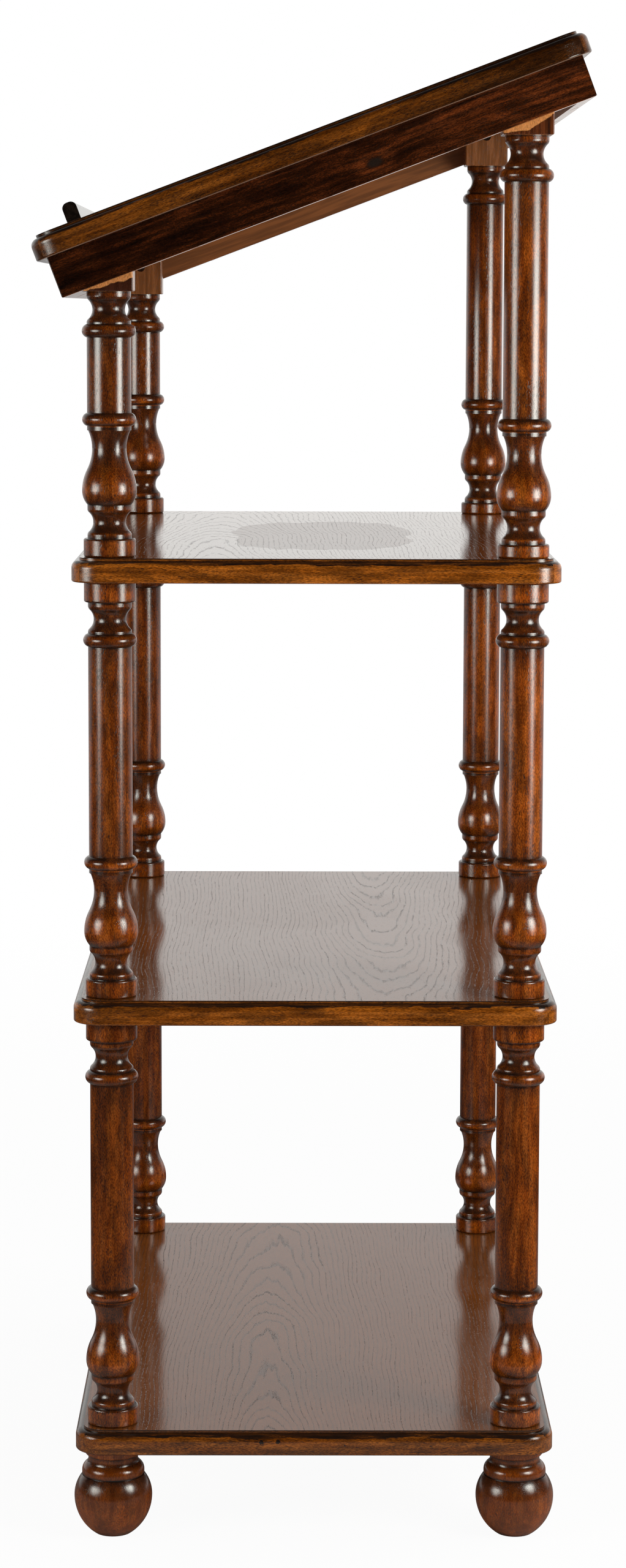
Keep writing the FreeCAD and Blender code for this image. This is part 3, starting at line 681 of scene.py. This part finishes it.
def desk_place(x, along, off):
    return DESK_ORIGIN + DESK_TILT @ Vector((x, along, off))


def desk_side_origin(side, overhang, off):
    x = {"right": APRON_HALF_WIDTH + overhang, "left": -APRON_HALF_WIDTH - overhang}.get(side, 0.0)
    along = {"front": -overhang, "rear": APRON_LENGTH + overhang}.get(side, APRON_LENGTH / 2)
    return desk_place(x, along, off)


def dark_specks(piece, specks):
    """Ragged dark specks at places along and up a piece."""
    nodes = piece.nodes
    ragged = nodes.times(nodes.noise(nodes.stretched(piece.pattern, 600.0, 600.0)), 4.0 * MM)
    mask = 0.0
    for along, up, size in specks:
        away = nodes.plus(nodes.length(piece.reach(along, up)), ragged)
        mask = nodes.larger(mask, nodes.ranged(away, size + 2.3 * MM, size + 1.7 * MM))
    return mask


def finish_lipping(node, seed, settings, origin, along, up, tone, shadow, fade, specks=(), lightened=False):
    """Moulded edge: golden streaks, glaze and painted shade along the fillet, and rubbed marks.

    Shadow is how dark its patches are, and fade how much darker its far end is. Where it is lightened,
    its lower edge gets a painted highlight, a pale line, under a face darkened by painted shade.
    """
    piece = PieceMaterial(node, origin, along, up, seed)
    nodes = piece.nodes
    grain = piece.grain(nodes.stretched(piece.pattern, 1.35, 0.8))
    marks = piece.effect("Rubbed marks", rubbed_marks, Vector=piece.pattern)["Marks"]
    stains = (settings.lipping_dark, settings.lipping_mid, settings.lipping_light)
    base = stained(piece, grain, *toned(stains, tone), settings)
    patch = nodes.noise(nodes.stretched(piece.pattern, 30.0, 9.0), detail=3.0)
    base = nodes.shade(base, nodes.ranged(patch, 0.35, 0.65, 1.0 - shadow, 1.0))
    base = nodes.shade(base, nodes.ranged(piece.z, 0.0, 0.2, 1.0, 1.0 - fade))
    # Painted shade at the top and in a ragged band below the fillet, where its step lies under the
    # veneer's edge, with glaze
    base = nodes.shade(base, nodes.ranged(piece.y, 17.4 * MM, 18.0 * MM, 1.0, 0.7))
    ragged = nodes.noise(nodes.stretched(piece.pattern, 160.0, 26.0), detail=4.0, roughness=0.6)
    edge = nodes.minus(piece.y, nodes.ranged(ragged, 0.3, 0.7, 16.4 * MM, 13.6 * MM))
    below_fillet = nodes.ranged(piece.y, 18.3 * MM, 17.7 * MM)
    glaze_and_shade = nodes.times(nodes.ranged(edge, 0.0, 0.7 * MM), below_fillet)
    sole = nodes.ranged(piece.y, 1.2 * MM, 0.3 * MM, 0.0, 0.5)
    if lightened:
        # Painted shade on the lower part of the face
        base = nodes.shade(base, nodes.ranged(piece.y, 1.5 * MM, 9.0 * MM, 0.60, 1.0))
    lines = nodes.larger(nodes.larger(glaze_and_shade, sole), marks)
    wear = nodes.noise(nodes.stretched(piece.pattern, 300.0, 30.0), detail=3.0)
    lines = nodes.times(lines, nodes.ranged(wear, 0.42, 0.62, 1.0, 0.7))
    if specks:
        lines = nodes.larger(lines, dark_specks(piece, specks))
    base = nodes.mix(lines, base, opaque(settings.glaze_and_shade))
    if lightened:
        # Painted highlight along the lower arris, a pale line
        arris = nodes.ranged(piece.y, 0.65 * MM, 0.35 * MM)
        base = nodes.mix(arris, base, opaque(settings.painted_arris_highlight))
    relief = pores_and_fibre(nodes, grain)
    gloss = pored_gloss(nodes, grain, settings.turned_roughness, LIPPING_SPREAD)
    piece.finish(node, base, gloss, relief, strength=LIPPING_RELIEF, specular=LACQUER)


def dull_patch(piece):
    """A patch of the upper shelf's lacquer that lost its gloss, with a wavering edge."""
    nodes = piece.nodes
    across, along, half_across, half_along = DULL_PATCH
    waver = nodes.noise(nodes.stretched(piece.place, 38.0, 9.0), detail=3.0)
    reach = [nodes.math("DIVIDE", nodes.minus(piece.x, across), half_across),
             nodes.math("DIVIDE", nodes.minus(piece.z, along), half_along)]
    away = nodes.plus(*[nodes.math("POWER", nodes.math("ABSOLUTE", side), 2.5) for side in reach])
    return nodes.ranged(nodes.plus(away, nodes.times(waver, 1.1)), 1.6, 1.5)


def finish_veneer(node, seed, settings, origin, along, up, top):
    """Open-pored leaf under a lacquer that has not quite filled the pores, its edges darkened with glaze
    and painted shade.
    """
    piece = PieceMaterial(node, origin, along, up, seed)
    nodes = piece.nodes
    across, depth, lean = VENEER_FIGURES[node]
    figure = piece.effect(
        "Arched figure", arched_figure, Vector=piece.place, Across=across, Depth=depth, Lean=lean
    )
    base = nodes.mix(figure["Rings"], opaque(settings.veneer_light), opaque(settings.veneer_dark))
    base = nodes.shade(base, nodes.ranged(figure["Fibre"], 0.3, 0.7, 0.82, 1.12))
    base = nodes.mix(figure["Pores"], base, opaque(settings.pore))
    # Glaze and painted shade on the leaf's edges, below its top face
    edge = nodes.ranged(piece.y, top - 0.05 * MM, top - 0.15 * MM)
    base = nodes.mix(edge, base, opaque(settings.glaze_and_shade))
    if node == "upper_shelf_veneer":
        hazy = nodes.times(dull_patch(piece), PATCH_DULLING)
    else:
        hazy = nodes.times(figure["Cloud"], CLOUD_DULLING)
    hazy = nodes.plus(hazy, settings.board_roughness)
    rough = nodes.plus(hazy, nodes.times(figure["Pores"], VENEER_PORE_DULLING))
    relief = nodes.minus(nodes.times(figure["Fibre"], 0.25), figure["Pores"])
    piece.finish(node, base, rough, relief, strength=VENEER_RELIEF, depth=VENEER_PORE_DEPTH)


def finish_panel(node, seed, settings, origin, along, up):
    """Core panel: a plain stained underside."""
    piece = PieceMaterial(node, origin, along, up, seed)
    nodes = piece.nodes
    grain = piece.grain()
    base = nodes.shade(opaque(settings.inner_wood), nodes.ranged(grain["Streaks"], 0.0, 1.0, 0.65, 1.2))
    base = nodes.mix(nodes.times(grain["Pores"], 0.6), base, opaque(settings.pore))
    rough = nodes.ranged(grain["Fibre"], 0.0, 1.0, DULL - 0.1, DULL)
    piece.finish(node, base, rough, pores_and_fibre(nodes, grain), strength=PANEL_RELIEF)


def finish_apron(node, seed, settings, origin, along, up, knot):
    """Very dark streaky apron, dull brown on its inner face and underneath."""
    piece = PieceMaterial(node, origin, along, up, seed)
    nodes = piece.nodes
    pattern = piece.pattern
    if knot:
        distance = nodes.length(nodes.scaled(piece.reach(*knot), (0.55, 1.0, 0.0)))
        eye = nodes.ranged(distance, 4.6 * MM, 2.2 * MM)
        outside = nodes.ranged(distance, 3.5 * MM, 5.5 * MM)
        ring = nodes.times(outside, nodes.ranged(distance, 13.0 * MM, 6.0 * MM))
        near = nodes.ranged(distance, 22.0 * MM, 4.0 * MM)
        pattern = nodes.shifted(pattern, nodes.scaled(near, (3.0 * MM, 3.0 * MM, 0.0)))
    grain = piece.grain(pattern)
    base = stained(piece, grain, settings.apron_dark, settings.apron_mid, settings.apron_light, settings)
    base = nodes.shade(base, nodes.ranged(piece.z, -0.16, 0.2, 0.62, 1.35))
    glow = nodes.noise(nodes.stretched(pattern, 45.0, 6.0), detail=3.0)
    base = nodes.shade(base, nodes.ranged(glow, 0.45, 0.7, 0.85, 1.7))
    if knot:
        base = nodes.shade(base, nodes.ranged(ring, 0.0, 1.0, 1.0, 1.7))
        base = nodes.mix(eye, base, opaque(settings.ledge))
    dull = nodes.shade(opaque(settings.inner_wood), nodes.ranged(grain["Streaks"], 0.0, 1.0, 0.8, 1.3))
    inner = nodes.ranged(piece.x, APRON_THICKNESS - 0.6 * MM, APRON_THICKNESS - 0.2 * MM)
    under = nodes.ranged(piece.y, 0.3 * MM, 0.1 * MM)
    base = nodes.mix(nodes.larger(inner, under), base, dull)
    gloss = nodes.ranged(inner, 0.0, 1.0, settings.turned_roughness - APRON_POLISH, DULL)
    gloss = nodes.plus(gloss, nodes.times(under, UNDERSIDE_DULLING))
    piece.finish(node, base, gloss, pores_and_fibre(nodes, grain), strength=APRON_RELIEF)


def finish_ledge(node, seed, settings, origin, along, up):
    """Book ledge, nearly black and glossy."""
    piece = PieceMaterial(node, origin, along, up, seed)
    nodes = piece.nodes
    grain = piece.grain()
    base = nodes.shade(opaque(settings.ledge), nodes.ranged(grain["Streaks"], 0.0, 1.0, 0.6, 1.6))
    smooth = settings.board_roughness
    gloss = nodes.ranged(grain["Fibre"], 0.0, 1.0, smooth, smooth + LEDGE_SPREAD)
    piece.finish(node, base, gloss, pores_and_fibre(nodes, grain), strength=LEDGE_RELIEF)


def finish_metal(node, seed, tone, low, high):
    """Bare metal with fine tool marks and slight tarnish."""
    piece = PieceMaterial(node, Vector(NOWHERE), UP, Vector((0, 1, 0)), seed)
    nodes = piece.nodes
    turned = nodes.noise(nodes.stretched(piece.pattern, 500.0, 2600.0), detail=2.0)
    tarnish = nodes.noise(nodes.stretched(piece.pattern, 160.0, 160.0), detail=3.0)
    base = nodes.shade(opaque(tone), nodes.ranged(tarnish, 0.3, 0.7, 0.7, 1.0))
    rough = nodes.ranged(turned, 0.3, 0.7, low, high)
    piece.finish(node, base, rough, turned, strength=METAL_RELIEF, depth=0.05 * MM, metallic=1.0)


class StandOperator:
    """What every operator here shares."""

    bl_options = {"REGISTER", "UNDO"}

    @property
    def settings(self):
        return bpy.context.scene.stand_finish


class STAND_OT_turned_pieces(StandOperator, bpy.types.Operator):
    """Stain, glaze and lacquer the feet and columns, with painted shade and light along their profiles"""

    bl_idname = "stand.turned_pieces"
    bl_label = "Turned pieces"

    def execute(self, context):
        for number, corner in enumerate(CORNERS):
            finish_foot("foot_" + corner, number + 1, self.settings)
            finish_shelf_column("lower_column_" + corner, number + 11, self.settings)
            finish_shelf_column("middle_column_" + corner, number + 21, self.settings)
            post, cut = (FRONT_POST, 0.0) if corner.startswith("front") else (REAR_POST, REAR_POST_CUT)
            finish_desk_column("upper_column_" + corner, number + 31, self.settings, post, cut)
        return {"FINISHED"}


class STAND_OT_lippings(StandOperator, bpy.types.Operator):
    """Stain and lacquer the moulded edges of the shelves and the desk"""

    bl_idname = "stand.lippings"
    bl_label = "Lippings"

    def execute(self, context):
        for number, side in enumerate(SIDES):
            along = side_direction(side)
            for level, shelf in enumerate(SHELVES):
                node = shelf + "_lipping_" + side
                origin = shelf_side_origin(node, side)
                specks = LIPPING_SPECKS if node == "bottom_shelf_lipping_right" else ()
                seed = 41 + 4 * level + number
                finish_lipping(
                    node, seed, self.settings, origin, along, UP,
                    SHELF_TONES[level], SHELF_SHADOW, 0.0, specks,
                )
            origin = desk_side_origin(side, DESK_OVERHANG, APRON_HEIGHT)
            node = "desk_lipping_" + side
            slope = DESK_TILT @ along
            finish_lipping(
                node, 61 + number, self.settings, origin, slope, DESK_NORMAL,
                DESK_TONE, DESK_SHADOW, DESK_FADE, lightened=True,
            )
        return {"FINISHED"}


class STAND_OT_veneers(StandOperator, bpy.types.Operator):
    """Lay the open-pored veneer on the shelves and the desk"""

    bl_idname = "stand.veneers"
    bl_label = "Veneers"

    def execute(self, context):
        along = Vector((1, 0, 0))
        for number, shelf in enumerate(SHELVES):
            low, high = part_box(shelf + "_veneer")
            origin = (low + high) / 2
            top = high.z - origin.z
            finish_veneer(shelf + "_veneer", 71 + number, self.settings, origin, along, UP, top)
        origin = desk_place(0.0, APRON_LENGTH / 2, APRON_HEIGHT)
        finish_veneer("desk_veneer", 75, self.settings, origin, along, DESK_NORMAL, BOARD_THICKNESS)
        return {"FINISHED"}


class STAND_OT_cores(StandOperator, bpy.types.Operator):
    """Stain the undersides of the shelves and the desk"""

    bl_idname = "stand.cores"
    bl_label = "Core panels"

    def execute(self, context):
        along = Vector((1, 0, 0))
        for number, shelf in enumerate(SHELVES):
            low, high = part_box(shelf + "_core")
            origin = (low + high) / 2
            finish_panel(shelf + "_core", 81 + number, self.settings, origin, along, UP)
        origin = desk_place(0.0, APRON_LENGTH / 2, APRON_HEIGHT)
        finish_panel("desk_core", 85, self.settings, origin, along, DESK_NORMAL)
        return {"FINISHED"}


class STAND_OT_aprons(StandOperator, bpy.types.Operator):
    """Stain and lacquer the aprons under the desk"""

    bl_idname = "stand.aprons"
    bl_label = "Aprons"

    def execute(self, context):
        for number, side in enumerate(SIDES):
            along = DESK_TILT @ side_direction(side)
            origin = desk_side_origin(side, 0.0, 0.0)
            knot = APRON_KNOT if side == "right" else None
            finish_apron("apron_" + side, 91 + number, self.settings, origin, along, DESK_NORMAL, knot)
        return {"FINISHED"}


class STAND_OT_book_ledge(StandOperator, bpy.types.Operator):
    """Lacquer the book ledge nearly black"""

    bl_idname = "stand.book_ledge"
    bl_label = "Book ledge"

    def execute(self, context):
        origin = desk_place(0.0, LEDGE_MIDDLE, APRON_HEIGHT + BOARD_THICKNESS)
        finish_ledge("book_ledge", 97, self.settings, origin, Vector((1, 0, 0)), DESK_NORMAL)
        return {"FINISHED"}


class STAND_OT_fittings(StandOperator, bpy.types.Operator):
    """Give the studs, screws and inserts their bare metal"""

    bl_idname = "stand.fittings"
    bl_label = "Fittings"

    def execute(self, context):
        studs = [shelf + "_studs" for shelf in SHELVES]
        screws = ["pommel_screws", "apron_screws", "ledge_screws"]
        for number, node in enumerate(studs + screws):
            finish_metal(node, 101 + number, self.settings.steel, 0.28, 0.42)
        inserts = ["foot_inserts", "lower_column_inserts", "middle_column_inserts"]
        for number, node in enumerate(inserts):
            finish_metal(node, 111 + number, self.settings.brass, 0.24, 0.36)
        return {"FINISHED"}


def floor_material(stage):
    """Pale floor, white to the camera with a faint shadow, and dimmer where the lacquer mirrors it."""
    material = bpy.data.materials.new("pale_floor")
    material.use_nodes = True
    nodes = Nodes(material.node_tree)
    nodes.tree.nodes.clear()
    spot = nodes.new("ShaderNodeTexCoord").outputs["Object"]
    away = nodes.length(spot)
    path = nodes.new("ShaderNodeLightPath").outputs
    behind = nodes.ranged(nodes.split(spot)[0], -0.7, -3.0, 1.0, 0.0)
    dark = nodes.times(nodes.ranged(away, 0.55, 1.1, 0.65, 0.975), behind)
    dimmed = nodes.times(dark, path["Is Glossy Ray"])
    tone = nodes.mix(dimmed, opaque(stage.floor_colour), BLACK)
    paint = nodes.new("ShaderNodeBsdfDiffuse", {"Color": tone}).outputs[0]
    white = nodes.new("ShaderNodeEmission", {"Color": WHITE, "Strength": 1.0}).outputs[0]
    glow = nodes.times(path["Is Camera Ray"], nodes.ranged(away, 0.8, 3.0, 0.95, 1.0))
    blend = nodes.new("ShaderNodeMixShader", {0: glow, 1: paint, 2: white})
    output = nodes.new("ShaderNodeOutputMaterial")
    nodes.feed(output.inputs["Surface"], blend.outputs[0])
    return material


def light_room(stage):
    """White all round for the camera.

    The lacquer mirrors a pale backdrop behind the stand and a dim room in front of it. The wood under it
    is lit from behind the stand and from the camera's right.
    """
    world = bpy.data.worlds.new("studio")
    bpy.context.scene.world = world
    world.use_nodes = True
    nodes = Nodes(world.node_tree)
    nodes.tree.nodes.clear()
    direction = nodes.new("ShaderNodeTexCoord").outputs["Generated"]
    facing = nodes.dot(direction, (-1.0, 0.0, 0.0))
    height = nodes.split(direction)[2]
    falling = nodes.ramp(height, [(0.0, 1.0), (0.18, 1.0), (0.27, 0.8), (0.7, 0.3)])
    backdrop = nodes.times(nodes.ranged(facing, 0.3, 0.75, stage.room_dim, 1.0), falling)
    fill = nodes.ranged(facing, -0.4, 0.6, 0.1, 0.9)
    beside = nodes.dot(direction, (0.0, 1.0, 0.0))
    fill = nodes.plus(fill, nodes.ranged(beside, 0.55, 0.95, 0.0, 1.9))
    path = nodes.new("ShaderNodeLightPath").outputs
    mirrored = nodes.larger(path["Is Glossy Ray"], path["Is Transmission Ray"])
    bounced = nodes.minus(1.0, mirrored)
    lit = nodes.plus(nodes.times(mirrored, backdrop), nodes.times(bounced, fill))
    strength = nodes.larger(lit, path["Is Camera Ray"])
    tone = nodes.mix(mirrored, WHITE, opaque(stage.backdrop))
    sky = nodes.new("ShaderNodeBackground", {"Color": tone, "Strength": strength})
    output = nodes.new("ShaderNodeOutputWorld")
    nodes.feed(output.inputs["Surface"], sky.outputs[0])


def hang_softbox(stage, side):
    """A softbox that is brightest above its middle, and dims and narrows towards its lower edge."""
    name = side + "_softbox"
    spot, size, watts = [getattr(stage, side + "_box_" + part) for part in ("place", "size", "power")]
    lamp = bpy.data.lights.new(name, "AREA")
    lamp.shape = "RECTANGLE"
    lamp.size, lamp.size_y = size
    lamp.energy = watts
    lamp.color = stage.box_colour
    lamp.use_nodes = True
    nodes = Nodes(lamp.node_tree)
    nodes.tree.nodes.clear()
    across, upward = nodes.split(nodes.new("ShaderNodeNewGeometry").outputs["Parametric"])[:2]
    side = nodes.math("MINIMUM", across, nodes.minus(1.0, across))
    inset = nodes.ranged(upward, 0.05, 0.5, SOFT_SIDES / 2, 0.0)
    soft = nodes.ranged(nodes.minus(side, inset), 0.0, SOFT_SIDES, 0.04, 1.0)
    strength = nodes.times(soft, nodes.ramp(upward, SOFTBOX_GLOW))
    glow = nodes.new("ShaderNodeEmission", {"Strength": strength})
    output = nodes.new("ShaderNodeOutputLight")
    nodes.feed(output.inputs["Surface"], glow.outputs[0])
    holder = bpy.data.objects.new(name, lamp)
    holder.location = spot
    holder.rotation_euler = (SOFTBOX_AIM - Vector(spot)).to_track_quat("-Z", "Y").to_euler()
    holder.visible_camera = False
    bpy.context.scene.collection.objects.link(holder)


def set_camera(stage):
    """The camera where the photo was taken from."""
    pitch, yaw, roll = stage.camera_turn
    level = math.cos(pitch)
    forward = Vector((-level * math.cos(yaw), -level * math.sin(yaw), -math.sin(pitch)))
    right = forward.cross(UP).normalized()
    upright = Matrix((right, right.cross(forward), -forward)).transposed()
    turned = upright @ Matrix.Rotation(roll, 3, "Z")
    camera = bpy.data.cameras.new("photo_camera")
    camera.sensor_width = 36.0
    camera.lens = stage.lens
    camera.shift_y = stage.rise
    holder = bpy.data.objects.new("photo_camera", camera)
    holder.matrix_world = Matrix.Translation(Vector(stage.camera_place)) @ turned.to_4x4()
    bpy.context.scene.collection.objects.link(holder)
    bpy.context.scene.camera = holder


class STAND_OT_stage(bpy.types.Operator):
    """Set the floor, the softboxes, the white room and the camera"""

    bl_idname = "stand.stage"
    bl_label = "Stage"
    bl_options = {"REGISTER", "UNDO"}

    def execute(self, context):
        stage = context.scene.stand_stage
        bpy.ops.object.select_all(action="DESELECT")
        bpy.ops.mesh.primitive_plane_add(size=FLOOR_WIDTH, location=NOWHERE)
        floor = context.object
        floor.name = "floor"
        floor.data.materials.append(floor_material(stage))
        hang_softbox(stage, "left")
        hang_softbox(stage, "right")
        light_room(stage)
        set_camera(stage)
        context.scene.view_settings.view_transform = "Standard"
        return {"FINISHED"}


class STAND_PT_finishes(bpy.types.Panel):
    """Lists the stand's finishes and its stage"""

    bl_idname = "STAND_PT_finishes"
    bl_label = "Reading stand"
    bl_space_type = "VIEW_3D"
    bl_region_type = "UI"
    bl_category = "Reading stand"

    def draw(self, context):
        for operator in OPERATORS:
            self.layout.operator(operator.bl_idname)
        for settings in (context.scene.stand_finish, context.scene.stand_stage):
            for name in settings.__annotations__:
                self.layout.prop(settings, name)


OPERATORS = (
    STAND_OT_turned_pieces,
    STAND_OT_lippings,
    STAND_OT_veneers,
    STAND_OT_cores,
    STAND_OT_aprons,
    STAND_OT_book_ledge,
    STAND_OT_fittings,
    STAND_OT_stage,
)
CLASSES = (StandFinish, StandStage) + OPERATORS + (STAND_PT_finishes,)


def register():
    for kind in CLASSES:
        bpy.utils.register_class(kind)
    bpy.types.Scene.stand_finish = bpy.props.PointerProperty(type=StandFinish)
    bpy.types.Scene.stand_stage = bpy.props.PointerProperty(type=StandStage)


def unregister():
    del bpy.types.Scene.stand_stage
    del bpy.types.Scene.stand_finish
    for kind in reversed(CLASSES):
        bpy.utils.unregister_class(kind)


def main():
    register()
    bpy.ops.stand.turned_pieces()
    bpy.ops.stand.lippings()
    bpy.ops.stand.veneers()
    bpy.ops.stand.cores()
    bpy.ops.stand.aprons()
    bpy.ops.stand.book_ledge()
    bpy.ops.stand.fittings()
    bpy.ops.stand.stage()


if __name__ == "__main__":
    main()
